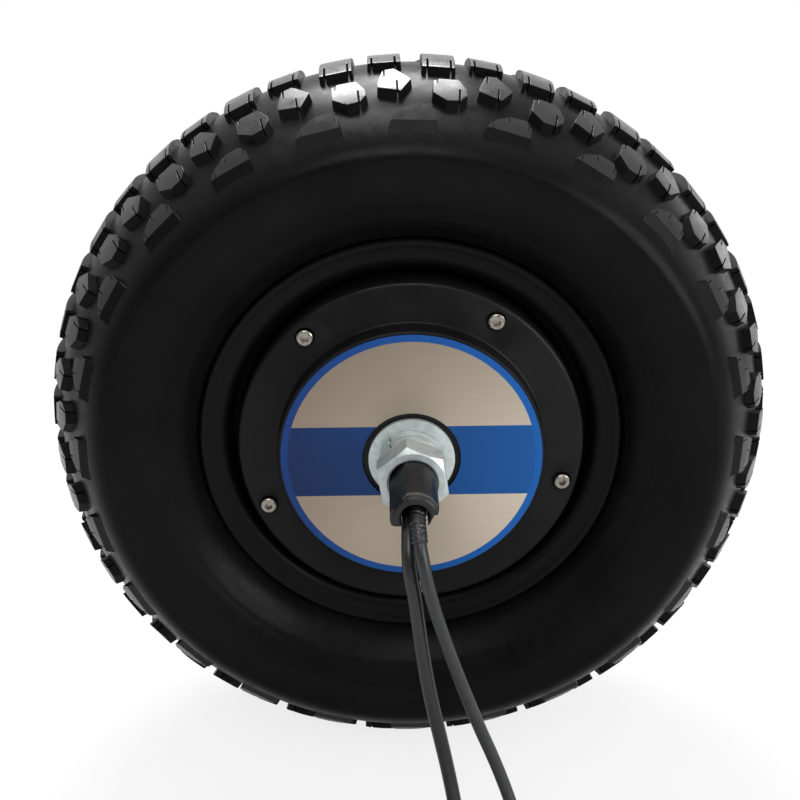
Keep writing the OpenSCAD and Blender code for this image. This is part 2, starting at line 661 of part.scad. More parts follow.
// Nuts and washers, drawn at the front
nut_turn = 39;
split_turn = 143;
thread_gap = 0.05;
nut_corner_r = nut_af / sqrt(3);
nut_face_r = nut_af / 2 - 0.4;
corner_drop = 1.8;
sink_t = 1.6;
module flat_washer() { color(zinc) ring(washer_d / 2, thread_r + 0.5, shoulder_z, washer_z - seat); }
module spring_washer() {
    color(zinc) difference() {
        ring(spring_d / 2, thread_r + 0.3, washer_z, spring_z - seat);
        rotate([0, 0, split_turn]) translate([thread_r, -0.5, washer_z - 1])
            rotate([15, 0, 0]) cube([spring_d, 1, spring_t + 3]);
    }
}
module nut() {
    color(zinc) difference() {
        intersection() {
            translate([0, 0, spring_z]) rotate([0, 0, nut_turn])
                cylinder(r = nut_corner_r, h = nut_h, $fn = 6);
            rotate_extrude() polygon([[0, spring_z], [nut_face_r, spring_z],
                [nut_corner_r + 0.2, spring_z + corner_drop], [nut_corner_r + 0.2, nut_z - corner_drop],
                [nut_face_r, nut_z], [0, nut_z]]);
        }
        translate([0, 0, spring_z - 1]) cylinder(r = thread_r + thread_gap, h = nut_h + 2);
        translate([0, 0, nut_z - sink_t])
            cylinder(r1 = thread_r + thread_gap, r2 = thread_r + thread_gap + sink_t, h = sink_t + 0.001);
        translate([0, 0, spring_z - 0.001])
            cylinder(r1 = thread_r + thread_gap + sink_t, r2 = thread_r + thread_gap, h = sink_t);
    }
}
module front_flat_washer() { stand() flat_washer(); }
module rear_flat_washer() { stand() rear_side() flat_washer(); }
module front_spring_washer() { stand() spring_washer(); }
module rear_spring_washer() { stand() rear_side() spring_washer(); }
module front_nut() { stand() nut(); }
module rear_nut() { stand() rear_side() nut(); }
module cable_grommet() {
    color(black_rubber) stand() translate([0, 0, grommet_z])
        cylinder(r = cable_bore / 2 - seat, h = grommet_l);
}

// Cables: from the grommet down to the ground, where the spare length lies coiled.
// Route points are X, Y and Z in the wheel's own frame.
// They are given for an axle 199.4 above the ground and a grommet that ends 101.5 forward,
// and move with both.
ground_z = 0.1 - tyre_r;
function hung(p) = [for (q = p) [q[0], q[1] + 101.5 - grommet_end_z, -q[2] * ground_z / 199.4]];
power_route = hung([[-2.4, -101.5, -2.9], [-2.5, -110.5, -3.3], [-2.7, -118.5, -5.5], [-2.9, -126, -10.1],
    [-3.1, -131.8, -16.8], [-3, -135, -25.9], [-1.9, -136.1, -37.2], [0.2, -136.5, -50.6],
    [3, -137, -66.1], [6.1, -137.5, -82.7], [9.2, -138, -99.4], [12.8, -138.5, -116.4],
    [16.4, -139.5, -133.4], [19.6, -142.5, -149.2], [22.3, -148.5, -163.5], [24.3, -158.5, -176],
    [25.3, -172, -184], [25.8, -187, -187.8], [26, -205, -188.4]]);
power_coil_at = hung([[-14, -205, 0]])[0];
power_coil_r = 40;
power_tail = hung([[-54, -205, -195.8], [-54, -196, -195.1], [-54, -187, -193.1],
    [-54, -178, -191.9], [-54, -172, -191.9]]);
sensor_route = hung([[1.8, -101.5, 3.2], [1.7, -111.5, 3.1], [1.5, -119.5, 1.7], [1.4, -127.5, -1.9],
    [2, -134, -7.3], [3.4, -138.5, -15.1], [5.5, -140.5, -25.3], [8.5, -141.5, -37.5],
    [12.1, -142, -49.8], [16.7, -142.5, -64.2], [21.7, -143, -78.7], [27, -143.5, -93.3],
    [32.5, -144, -108], [38.5, -144.5, -122.9], [44.2, -146, -137.8], [49.3, -150, -152],
    [53.6, -157.5, -166], [57.3, -168.5, -178.5], [60.3, -183, -186.6], [62.4, -199, -189.4],
    [63, -214, -189.6]]);
sensor_coil_at = hung([[98, -214, 0]])[0];
sensor_coil_r = 35;
sensor_tail = hung([[133, -214, -196.2], [133, -205, -195.5], [133, -196, -194.1],
    [133, -188, -193.4], [133, -183, -193.4]]);
layer_gap = 0.2;
cable_sides = 12;

function unit(v) = v / norm(v);
function tangent(p, i) = unit(p[min(i + 1, len(p) - 1)] - p[max(i - 1, 0)]);
function across(t) = unit([1, 0, 0] - ([1, 0, 0] * t) * t);
// A tube of the given radius swept along the points
module tube(p, r) {
    n = len(p);
    points = [for (i = [0 : n - 1]) let (t = tangent(p, i), a = across(t), b = cross(t, a))
        for (k = [0 : cable_sides - 1]) let (w = 360 * k / cable_sides)
            p[i] + r * (cos(w) * a + sin(w) * b)];
    sides = [for (i = [0 : n - 2]) for (k = [0 : cable_sides - 1]) let (m = (k + 1) % cable_sides)
        [i * cable_sides + k, i * cable_sides + m, (i + 1) * cable_sides + m, (i + 1) * cable_sides + k]];
    ends = [[for (k = [cable_sides - 1 : -1 : 0]) k],
        [for (k = [0 : cable_sides - 1]) (n - 1) * cable_sides + k]];
    polyhedron(points, [for (face = concat(sides, ends)) backwards(face)], convexity = 6);
}
// Two layers of turns, one on the other
module coil(at, coil_r, d) {
    translate([at[0], at[1], ground_z]) rotate_extrude() translate([coil_r, 0]) {
        translate([0, d / 2]) circle(d = d, $fn = 32);
        translate([0, 1.5 * d + layer_gap]) circle(d = d, $fn = 32);
        translate([-d / 2, d / 2]) square([d, d + layer_gap]);
    }
}
tie_t = 0.9;
tie_w = 3.2;
module tie(at, coil_r, d, turn) {
    tall = 2 * d + layer_gap;
    translate([at[0], at[1], ground_z]) rotate([0, 0, turn]) translate([coil_r, 0, 0]) difference() {
        translate([-d / 2 - tie_t, -tie_w / 2, 0]) cube([d + 2 * tie_t, tie_w, tall + tie_t]);
        translate([-d / 2 - seat, -tie_w, -1]) cube([d + 2 * seat, 2 * tie_w, tall + 1 + seat]);
    }
}
module power_cable() { color(black_rubber) tube(power_route, power_d / 2); }
module power_cable_coil() { color(black_rubber) coil(power_coil_at, power_coil_r, power_d); }
module power_cable_tail() { color(black_rubber) tube(power_tail, power_d / 2); }
module power_tie() { color([0.1, 0.1, 0.1]) tie(power_coil_at, power_coil_r, power_d, -90); }
module sensor_cable() { color(black_rubber) tube(sensor_route, sensor_d / 2); }
module sensor_cable_coil() { color(black_rubber) coil(sensor_coil_at, sensor_coil_r, sensor_d); }
module sensor_cable_tail() { color(black_rubber) tube(sensor_tail, sensor_d / 2); }
module sensor_tie() { color([0.1, 0.1, 0.1]) tie(sensor_coil_at, sensor_coil_r, sensor_d, -90); }

plug_step = 6;
module power_plug() {
    start = power_tail[len(power_tail) - 1];
    color([0.12, 0.12, 0.12]) translate([start[0], start[1], ground_z + power_plug_d / 2])
    rotate([-90, 0, 0]) difference() {
        union() {
            cylinder(d1 = power_plug_d - 4, d2 = power_plug_d, h = plug_step);
            translate([0, 0, plug_step]) cylinder(d = power_plug_d - 1.6, h = power_plug_l - plug_step);
            translate([0, 0, power_plug_l - 16]) cylinder(d = power_plug_d, h = 16);
        }
        translate([0, 0, power_plug_l - 10]) cylinder(d = power_plug_d - 4, h = 11);
    }
}
sensor_plug_w = 15;
sensor_plug_h = 12;
sensor_plug_l = 22;
module sensor_plug() {
    start = sensor_tail[len(sensor_tail) - 1];
    color([0.85, 0.85, 0.82]) translate([start[0], start[1], ground_z]) difference() {
        translate([-sensor_plug_w / 2, 0, 0]) cube([sensor_plug_w, sensor_plug_l, sensor_plug_h]);
        translate([-sensor_plug_w / 2 + 1.5, sensor_plug_l - 8, 1.5])
            cube([sensor_plug_w - 3, 9, sensor_plug_h - 3]);
    }
}

tyre();
rim();
valve_stem();
valve_core();
valve_cap();
back_iron_ring();
magnets();
front_cover();
cover_screws();
cover_o_ring();
label();
front_outer_race();
rear_outer_race();
front_balls();
rear_balls();
front_cage();
rear_cage();
front_seal();
rear_seal();
sensor_magnet_ring();
axle_shaft();
stator_key();
stator_hub();
stator_core();
windings();
sensor_board();
board_screws();
inner_leads();
front_inner_race();
rear_inner_race();
front_flat_washer();
rear_flat_washer();
front_spring_washer();
rear_spring_washer();
front_nut();
rear_nut();
cable_grommet();
power_cable();
power_cable_coil();
power_cable_tail();
power_tie();
power_plug();
sensor_cable();
sensor_cable_coil();
sensor_cable_tail();
sensor_tie();
sensor_plug();
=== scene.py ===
"""Robot drive wheel: a knobbly air-filled tyre on a hub motor, with its two cables, on a pale floor.

The frame is in metres, with +Z up and the cable side towards -Y. Sizes below are in millimetres
unless they say otherwise, and MM turns them into metres.
"""
import json
import math

import bmesh
import bpy
import numpy as np
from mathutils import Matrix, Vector


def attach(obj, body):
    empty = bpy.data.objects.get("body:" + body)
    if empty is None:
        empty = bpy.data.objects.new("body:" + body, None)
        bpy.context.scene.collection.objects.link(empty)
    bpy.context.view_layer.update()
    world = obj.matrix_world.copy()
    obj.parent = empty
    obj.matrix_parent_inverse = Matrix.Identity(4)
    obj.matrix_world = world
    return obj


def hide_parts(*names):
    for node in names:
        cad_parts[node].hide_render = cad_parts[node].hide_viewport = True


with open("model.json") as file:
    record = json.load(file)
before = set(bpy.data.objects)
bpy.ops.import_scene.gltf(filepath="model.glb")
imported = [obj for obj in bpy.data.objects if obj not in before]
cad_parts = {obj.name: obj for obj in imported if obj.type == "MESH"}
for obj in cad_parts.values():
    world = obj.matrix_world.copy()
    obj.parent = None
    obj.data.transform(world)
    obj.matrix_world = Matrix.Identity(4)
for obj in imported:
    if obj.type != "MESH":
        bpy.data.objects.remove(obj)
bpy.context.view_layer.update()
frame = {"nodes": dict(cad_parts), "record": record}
MM = 0.001
MM_PER_M = 1000.0
bpy.context.scene.view_settings.view_transform = "Standard"


# ---------------------------------------------------------------- camera
# The photograph was taken from about two thirds of a metre, a little above the wheel.
CAMERA_AT = (-13.9, -607.1, 258.4)
CAMERA_ELEVATION = 22.3
CAMERA_AZIMUTH = -0.81
CAMERA_LENS = 51.7
SENSOR_WIDTH = 36
CLIP_M = (0.02, 60)


def make_camera():
    """The camera where the photograph's stood; azimuth 0 looks along +Y."""
    data = bpy.data.cameras.new("camera")
    data.lens = CAMERA_LENS
    data.sensor_width = SENSOR_WIDTH
    data.clip_start, data.clip_end = CLIP_M
    cam = bpy.data.objects.new("camera", data)
    bpy.context.scene.collection.objects.link(cam)
    a, e = math.radians(CAMERA_AZIMUTH), math.radians(CAMERA_ELEVATION)
    back = Vector((math.sin(a) * math.cos(e), -math.cos(a) * math.cos(e), math.sin(e)))
    cam.location = Vector(CAMERA_AT) * MM
    cam.rotation_mode = "QUATERNION"
    cam.rotation_quaternion = (-back).to_track_quat("-Z", "Y")
    bpy.context.scene.camera = cam


make_camera()


# ---------------------------------------------------------------- materials
def linear(*srgb):
    """A colour given as 0 to 255 values, in linear light, with alpha."""
    def channel(v):
        v /= 255
        return v / 12.92 if v <= 0.04045 else ((v + 0.055) / 1.055) ** 2.4
    return tuple(channel(v) for v in srgb) + (1.0,)


MIX_A, MIX_B, MIX_RESULT = 6, 7, 2  # the Mix node's colour sockets
COAT_ROUGH = 0.1


class Nodes:
    """A node tree, with helpers that add a node and return its output."""

    def __init__(self, tree):
        self.tree = tree

    def link(self, output, target):
        self.tree.links.new(output, target)

    def feed(self, socket, term):
        """Sets the socket to a number or colour, or links another node's output to it."""
        if isinstance(term, (int, float, tuple)):
            socket.default_value = term
        else:
            self.link(term, socket)

    def node(self, kind, **settings):
        n = self.tree.nodes.new(kind)
        for key, value in settings.items():
            setattr(n, key, value)
        return n

    def math(self, operation, *terms):
        n = self.node("ShaderNodeMath", operation=operation)
        for socket, term in zip(n.inputs, terms):
            self.feed(socket, term)
        return n.outputs["Value"]


class Shader(Nodes):
    """A material with one Principled BSDF."""

    def __init__(self, name, rough=0.5, metallic=0.0, specular=0.5, coat=0.0):
        self.mat = bpy.data.materials.new(name)
        self.mat.use_nodes = True
        super().__init__(self.mat.node_tree)
        self.bsdf = self.tree.nodes["Principled BSDF"]
        self.set("Roughness", rough)
        self.set("Metallic", metallic)
        self.set("Specular IOR Level", specular)
        self.set("Coat Weight", coat)
        self.set("Coat Roughness", COAT_ROUGH)
        self.coords = self.node("ShaderNodeTexCoord").outputs["Object"]

    def set(self, socket, value):
        self.bsdf.inputs[socket].default_value = value

    def noise(self, scale, detail=3.0, stretch=(1, 1, 1)):
        """Noise whose grains are about 1/scale metres, longer where stretch is small."""
        mapping = self.node("ShaderNodeMapping")
        mapping.inputs["Scale"].default_value = stretch
        self.link(self.coords, mapping.inputs["Vector"])
        tex = self.node("ShaderNodeTexNoise")
        tex.inputs["Scale"].default_value = scale
        tex.inputs["Detail"].default_value = detail
        self.link(mapping.outputs["Vector"], tex.inputs["Vector"])
        return tex.outputs["Fac"]

    def spread(self, value, low, high, start=0.3, end=0.7):
        """The value's run from start to end, carried over to low to high."""
        n = self.node("ShaderNodeMapRange")
        n.inputs["From Min"].default_value = start
        n.inputs["From Max"].default_value = end
        n.inputs["To Min"].default_value = low
        n.inputs["To Max"].default_value = high
        self.link(value, n.inputs["Value"])
        return n.outputs["Result"]

    def ramp(self, value, stops):
        """Colours between the stops, which are pairs of place and colour."""
        n = self.node("ShaderNodeValToRGB")
        elements = n.color_ramp.elements
        while len(elements) < len(stops):
            elements.new(0.5)
        for element, (at, colour) in zip(elements, stops):
            element.position, element.color = at, colour
        self.link(value, n.inputs["Fac"])
        return n.outputs["Color"]

    def mix(self, factor, a, b):
        """Colour a where the factor is 0, and colour b where it is 1."""
        n = self.node("ShaderNodeMix", data_type="RGBA")
        self.link(factor, n.inputs["Factor"])
        self.feed(n.inputs[MIX_A], a)
        self.feed(n.inputs[MIX_B], b)
        return n.outputs[MIX_RESULT]

    def bump(self, height, distance, strength=1.0):
        """distance is the height of the bumps in metres."""
        n = self.node("ShaderNodeBump")
        n.inputs["Strength"].default_value = strength
        n.inputs["Distance"].default_value = distance
        self.link(height, n.inputs["Height"])
        self.link(n.outputs["Normal"], self.bsdf.inputs["Normal"])

    def radius(self):
        """Distance from the axle's line in millimetres, and the X and Z it comes from in metres."""
        parts = self.node("ShaderNodeSeparateXYZ")
        self.link(self.coords, parts.inputs["Vector"])
        x, z = parts.outputs["X"], parts.outputs["Z"]
        square = self.math("ADD", self.math("MULTIPLY", x, x), self.math("MULTIPLY", z, z))
        return self.math("MULTIPLY", self.math("SQRT", square), MM_PER_M), x, z

    def colour(self, output):
        self.link(output, self.bsdf.inputs["Base Color"])


def speckled(name, dark, light, grain, rough, rough_spread=0.06, height=0.0, **settings):
    """A surface whose colour and relief vary with one grain size, and its roughness more broadly."""
    s = Shader(name, rough=rough, **settings)
    fine = s.noise(grain)
    s.colour(s.ramp(fine, [(0.3, dark), (0.7, light)]))
    broad = s.noise(grain / 12)
    s.link(s.spread(broad, rough - rough_spread, rough + rough_spread), s.bsdf.inputs["Roughness"])
    if height:
        s.bump(fine, height)
    return s.mat


RUBBER_DARK = (0.0036, 0.0036, 0.0039, 1)
RUBBER_LIGHT = (0.0062, 0.0062, 0.0066, 1)


def tyre_rubber(name, rough, specular):
    """Black rubber with a fine moulded grain, a little duller in patches."""
    s = Shader(name, rough=rough, specular=specular)
    broad, fine = s.noise(22, 4), s.noise(1500, 2)
    s.colour(s.ramp(broad, [(0.3, RUBBER_DARK), (0.7, RUBBER_LIGHT)]))
    s.link(s.spread(s.noise(170, 4), rough - 0.06, rough + 0.08), s.bsdf.inputs["Roughness"])
    s.bump(fine, 0.00004, 0.5)
    return s.mat


GROOVES_PER_MM = 2.6


def turned(name, dark, light, rough, metallic=1.0, **settings):
    """Metal turned on a lathe: fine rings about the axle's line."""
    s = Shader(name, rough=rough, metallic=metallic, **settings)
    r, _, _ = s.radius()
    rings = s.node("ShaderNodeTexNoise", noise_dimensions="1D")
    rings.inputs["Scale"].default_value = GROOVES_PER_MM
    s.link(r, rings.inputs["W"])
    cloud = s.noise(60)
    s.colour(s.ramp(cloud, [(0.3, dark), (0.7, light)]))
    s.link(s.spread(cloud, rough * 0.85, rough * 1.15), s.bsdf.inputs["Roughness"])
    s.bump(rings.outputs["Fac"], 0.00003, 0.6)
    return s.mat


BORDER_IN_R = 65.3
BAND_TOP, BAND_BOTTOM = 18.6, -21.2
LABEL_TILT = 0.0078
# painted light on the label: its colours go from darker at the left to lighter at the right over this many mm
# either side of the middle; painted shade darkens the silver towards the top, up to the next height in mm
LABEL_SHADE_X = 60
LABEL_SHADE_TOP = 66


def label_face():
    """Brushed plate with a printed blue border and a plain blue band, with painted light: lighter to the
    right, and painted shade towards the top.
    """
    s = Shader("label_face", rough=0.36, specular=0.3)
    r, x, z = s.radius()
    x_mm, z_mm = s.math("MULTIPLY", x, MM_PER_M), s.math("MULTIPLY", z, MM_PER_M)
    brushed = s.noise(900, 3, stretch=(0.04, 1, 1))
    # painted light: 0 at the left to 1 at the right, so the silver, band and border are painted darker to the
    # left and lighter to the right
    across = s.spread(x_mm, 0, 1, -LABEL_SHADE_X, LABEL_SHADE_X)
    silver = s.mix(s.spread(brushed, 0, 0.3),
                   s.ramp(across, [(0, linear(150, 134, 118)), (1, linear(212, 200, 182))]),
                   linear(176, 163, 148))
    # painted shade: the silver is darkened towards the top of the label, up to half way to a dark brown
    silver = s.mix(s.spread(z_mm, 0, 0.5, 0, LABEL_SHADE_TOP), silver, linear(92, 78, 64))
    blue = s.ramp(across, [(0, linear(4, 38, 86)), (1, linear(6, 80, 150))])
    border = s.ramp(across, [(0, linear(6, 54, 118)), (1, linear(8, 90, 168))])
    tilted = s.math("SUBTRACT", z_mm, s.math("MULTIPLY", x_mm, LABEL_TILT))
    in_band = s.math("MULTIPLY", s.math("LESS_THAN", tilted, BAND_TOP),
                     s.math("GREATER_THAN", tilted, BAND_BOTTOM))
    in_border = s.math("GREATER_THAN", r, BORDER_IN_R)
    colour = s.mix(in_band, silver, blue)
    colour = s.mix(in_border, colour, border)
    s.colour(colour)
    printed = s.math("MAXIMUM", in_band, in_border)
    s.link(s.spread(printed, 0.6, 0.1, 0, 1), s.bsdf.inputs["Metallic"])
    s.bump(brushed, 0.00002, 0.4)
    return s.mat


THREAD_PITCH = 1.5
# painted highlight: bright lines painted round the shaft near the cable end, where its end chamfer catches
# the light; then the radius inside which they are left out, and how far they are mixed towards bright steel
PAINTED_HIGHLIGHT_LINES = ((121.6, 0.2), (122.6, 0.24), (123.6, 0.16))  # depth and half width of each
HIGHLIGHT_FROM_R = 10.6
HIGHLIGHT_SHARE = 0.5


def blackened_axle():
    """Blackened steel with a fine thread, and painted highlight lines near the cable end where the end
    chamfer catches the light.
    """
    s = Shader("axle_black", rough=0.4, metallic=0.35, specular=0.4)
    r, _, _ = s.radius()
    parts = s.node("ShaderNodeSeparateXYZ")
    s.link(s.coords, parts.inputs["Vector"])
    depth = s.math("MULTIPLY", parts.outputs["Y"], -MM_PER_M)
    # painted highlight mask: the bright lines, kept to the shaft's outside
    painted_highlight = None
    for at, half in PAINTED_HIGHLIGHT_LINES:
        line = s.math("LESS_THAN", s.math("ABSOLUTE", s.math("SUBTRACT", depth, at)), half)
        painted_highlight = line if painted_highlight is None else s.math("MAXIMUM", painted_highlight, line)
    painted_highlight = s.math("MULTIPLY", painted_highlight, s.math("GREATER_THAN", r, HIGHLIGHT_FROM_R))
    cloud = s.noise(90, 4)
    dark = s.ramp(cloud, [(0.3, (0.013, 0.013, 0.014, 1)), (0.7, (0.026, 0.026, 0.028, 1))])
    # the painted highlight mixed into the dark steel's colour
    s.colour(s.mix(s.math("MULTIPLY", painted_highlight, HIGHLIGHT_SHARE), dark, linear(178, 176, 172)))
    thread = s.math("SINE", s.math("MULTIPLY", depth, 2 * math.pi / THREAD_PITCH))
    s.bump(s.math("ADD", thread, s.math("MULTIPLY", s.noise(900), 0.6)), 0.00006, 0.5)
    return s.mat


def copper_wire():
    """Enamelled wire wound round each tooth: bands a wire's width apart."""
    s = Shader("copper", rough=0.35, metallic=0.9)
    wire = s.node("ShaderNodeTexWave", wave_type="BANDS", bands_direction="Y")
    wire.inputs["Scale"].default_value = 330
    s.link(s.coords, wire.inputs["Vector"])
    s.colour(s.ramp(wire.outputs["Fac"], [(0.1, linear(92, 42, 18)), (0.8, linear(196, 112, 58))]))
    s.bump(wire.outputs["Fac"], 0.0004, 0.8)
    return s.mat


MATERIALS = {
    "tyre_rubber": tyre_rubber("tyre_rubber", 0.3, 0.07),
    "rim_black": speckled("rim_black", (0.0026, 0.0026, 0.0028, 1), (0.0044, 0.0044, 0.0047, 1), 1600, 0.36,
                          height=0.00003, specular=0.1),
    "cover_black": turned("cover_black", (0.006, 0.006, 0.0064, 1), (0.009, 0.009, 0.0098, 1), 0.36,
                          metallic=0.0, specular=0.13),
    "stainless": speckled("stainless", linear(122, 118, 109), linear(172, 167, 157), 900, 0.28, metallic=1.0),
    "zinc": speckled("zinc", linear(180, 189, 189), linear(203, 211, 209), 260, 0.34, rough_spread=0.03,
                     height=0.000004, metallic=0.42),
    "axle_black": blackened_axle(),
    "label_face": label_face(),
    "bearing_steel": turned("bearing_steel", linear(150, 152, 154), linear(196, 198, 200), 0.2),
    "motor_steel": speckled("motor_steel", linear(96, 98, 102), linear(134, 136, 140), 700, 0.42,
                            metallic=1.0, height=0.00003),
    "magnet": speckled("magnet", linear(150, 152, 156), linear(186, 188, 192), 500, 0.3, metallic=1.0),
    "hub_alloy": speckled("hub_alloy", linear(158, 160, 163), linear(190, 192, 195), 800, 0.48,
                          metallic=1.0, height=0.00005),
    "copper": copper_wire(),
    "brass": turned("brass", linear(168, 138, 78), linear(206, 176, 108), 0.3),
    "cage": speckled("cage", linear(160, 132, 76), linear(194, 164, 100), 600, 0.36, metallic=1.0),
    "board": speckled("board", linear(12, 62, 36), linear(20, 86, 50), 300, 0.4, coat=0.3),
    "seal_rubber": speckled("seal_rubber", (0.007, 0.007, 0.0072, 1), (0.012, 0.012, 0.0122, 1), 1200, 0.55,
                            height=0.00003, specular=0.3),
    "cable_sheath": speckled("cable_sheath", (0.008, 0.008, 0.0085, 1), (0.014, 0.014, 0.0145, 1), 350, 0.34,
                             height=0.00004, specular=0.5),
    "sensor_sheath": speckled("sensor_sheath", (0.014, 0.0145, 0.015, 1), (0.022, 0.023, 0.024, 1), 350, 0.36,
                              height=0.00004, specular=0.5),
    "lead_sheath": speckled("lead_sheath", linear(120, 24, 20), linear(160, 36, 30), 500, 0.4),
    "plug_black": speckled("plug_black", (0.012, 0.012, 0.0125, 1), (0.02, 0.02, 0.0205, 1), 900, 0.45,
                           height=0.00003),
    "plug_white": speckled("plug_white", linear(205, 204, 196), linear(228, 227, 220), 700, 0.45,
                           height=0.00002),
}
TREAD_FACES = tyre_rubber("tread_rubber", 0.28, 0.5)


def paint(obj, slot, finish=None):
    """obj shows the material of that slot of the record, or its own finish of that slot."""
    obj.data.materials.clear()
    obj.data.materials.append(MATERIALS[finish or slot])


def mesh_object(name, verts_mm, faces, slot, body):
    """A new piece from points in millimetres, painted and riding on a body."""
    mesh = bpy.data.meshes.new(name)
    mesh.from_pydata([[c * MM for c in v] for v in verts_mm], [], faces)
    mesh.update()
    mesh.shade_smooth()
    obj = bpy.data.objects.new(name, mesh)
    bpy.context.scene.collection.objects.link(obj)
    paint(obj, slot)
    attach(obj, body)
    return obj


def ring_faces(n, turns):
    """The faces between closed outlines of n points each, set round the axle one after the other."""
    faces = []
    for k in range(turns):
        m = (k + 1) % turns
        for i in range(n):
            j = (i + 1) % n
            faces.append((k * n + i, k * n + j, m * n + j, m * n + i))
    return faces


# ---------------------------------------------------------------- cables
# Each route leaves the bore, hangs to the floor and runs into a coil; the tail leads to the plug.
GROUND_Z = -199.4
POWER_D, SENSOR_D = 7.2, 6.4
LAYER_GAP = 0.2
COIL_TURNS = 1.5
POWER_ROUTE = [
    (-2.4, -101.5, -2.9), (-2.5, -110.5, -3.3), (-2.7, -118.5, -5.5), (-2.9, -126, -10.1),
    (-2.9, -131.8, -16.8), (-2.1, -135, -25.9), (-0.1, -136.1, -37.2), (1.6, -136.5, -50.6),
    (3.6, -137, -66.1), (6.1, -137.5, -82.7), (9.2, -138, -99.4), (12.8, -138.5, -116.4),
    (16.4, -139.5, -133.4), (19.6, -142.5, -149.2), (22.3, -148.5, -163.5), (24.3, -158.5, -176),
    (25.3, -172, -184), (25.8, -187, -187.8), (26, -205, -188.4)]
POWER_COIL_AT, POWER_COIL_R = (-14, -205), 40
POWER_TAIL = [(-54, -205, -195.8), (-54, -196, -195.1), (-54, -187, -193.1), (-54, -178, -191.9),
              (-54, -172, -191.9)]
SENSOR_ROUTE = [
    (1.8, -101.5, 3.2), (1.7, -111.5, 3.1), (1.5, -119.5, 1.7), (1.4, -127.5, -1.9),
    (2, -134, -7.3), (3.4, -138.5, -15.1), (5.5, -140.5, -25.3), (8.5, -141.5, -37.5),
    (12.1, -142, -49.8), (16.7, -142.5, -64.2), (21.7, -143, -78.7), (27, -143.5, -93.3),
    (32.5, -144, -108), (38.5, -144.5, -122.9), (44.2, -146, -137.8), (49.3, -150, -152),
    (53.6, -157.5, -166), (57.3, -168.5, -178.5), (60.3, -183, -186.6), (62.4, -199, -189.4),
    (63, -214, -189.6)]
SENSOR_COIL_AT, SENSOR_COIL_R = (98, -214), 35
SENSOR_TAIL = [(133, -214, -196.2), (133, -205, -195.5), (133, -196, -194.1), (133, -188, -193.4),
               (133, -183, -193.4)]
SLEEVE_SPAN = (9, 26)  # points of the sensor cable's line that the sleeve covers
SLEEVE_T = 0.65
SLEEVE_FOLD = 0.28
SLEEVE_LIP = 0.5


def smooth_line(points, steps=6):
    """A smooth line through the points (Catmull-Rom)."""
    p = [np.array(q, float) for q in points]
    p = [2 * p[0] - p[1]] + p + [2 * p[-1] - p[-2]]
    line = []
    for a, b, c, d in zip(p, p[1:], p[2:], p[3:]):
        for k in range(steps):
            t = k / steps
            line.append(0.5 * (2 * b + (c - a) * t + (2 * a - 5 * b + 4 * c - d) * t * t
                               + (3 * b - a - 3 * c + d) * t ** 3))
    line.append(p[-2])
    return line


def coil_turns(at, radius, d, start, way, steps=72):
    """One and a half turns: half a turn on the upper layer, half going down, half on the lower."""
    top, low = GROUND_Z + 1.5 * d + LAYER_GAP, GROUND_Z + d / 2
    line = []
    for k in range(1, steps):
        turn = COIL_TURNS * k / steps
        t = min(max((turn - 0.5) / 0.5, 0), 1)
        z = top + (low - top) * t * t * (3 - 2 * t)
        angle = math.radians(start + way * 360 * turn)
        line.append(np.array([at[0] + radius * math.cos(angle), at[1] + radius * math.sin(angle), z]))
    return line


def cable_curve(name, line, d, finish):
    """The line as a round cable that rides on the axle."""
    curve = bpy.data.curves.new(name, "CURVE")
    curve.dimensions = "3D"
    curve.bevel_depth = d / 2 * MM
    curve.bevel_resolution = 8
    curve.use_fill_caps = True
    spline = curve.splines.new("POLY")
    spline.points.add(len(line) - 1)
    for point, at in zip(spline.points, line):
        point.co = (*(at * MM), 1)
    spline.use_smooth = True
    obj = bpy.data.objects.new(name, curve)
    bpy.context.scene.collection.objects.link(obj)
    paint(obj, "cable_sheath", finish)
    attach(obj, "axle")
    return obj


def wrinkled_sleeve(name, line, radius):
    """A short shrunk sleeve on a cable, with uneven rings where it gathers in the bend."""
    sides, verts, faces = 28, [], []
    dense = smooth_line(line, 5)
    for i, p in enumerate(dense):
        t = dense[min(i + 1, len(dense) - 1)] - dense[max(i - 1, 0)]
        t /= np.linalg.norm(t)
        a = np.array([1.0, 0, 0]) - t[0] * t
        a /= np.linalg.norm(a)
        b = np.cross(t, a)
        end = min(i, len(dense) - 1 - i)
        for k in range(sides):
            w = 2 * math.pi * k / sides
            wave = math.sin(i * 0.75 + 1.3 * math.sin(w * 2 + i * 0.11))
            fold = SLEEVE_FOLD * wave * (0.55 + 0.45 * math.sin(w + i * 0.23))
            r = radius + fold - (SLEEVE_LIP if end == 0 else 0)
            verts.append(p + r * (math.cos(w) * a + math.sin(w) * b))
    for i in range(len(dense) - 1):
        for k in range(sides):
            m = (k + 1) % sides
            faces.append((i * sides + k, i * sides + m, (i + 1) * sides + m, (i + 1) * sides + k))
    return mesh_object(name, verts, faces, "cable_sheath", "axle")


def make_cable(kind, route, at, radius, tail, d, start, way, finish, sleeved=False):
    """One cable from its route, coil and tail, in place of its three CAD nodes."""
    name = kind + "_cable"
    nodes = (name, name + "_coil", name + "_tail")
    line = smooth_line(route) + coil_turns(at, radius, d, start, way) + smooth_line(tail)
    cable = cable_curve(name + "_whole", line, d, finish)
    if sleeved:
        wrinkled_sleeve(name + "_sleeve", line[slice(*SLEEVE_SPAN)], d / 2 + SLEEVE_T)
    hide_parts(*nodes)


make_cable("power", POWER_ROUTE, POWER_COIL_AT, POWER_COIL_R, POWER_TAIL, POWER_D, 0, -1, "cable_sheath")
make_cable("sensor", SENSOR_ROUTE, SENSOR_COIL_AT, SENSOR_COIL_R, SENSOR_TAIL, SENSOR_D, 180, 1,
           "sensor_sheath", sleeved=True)


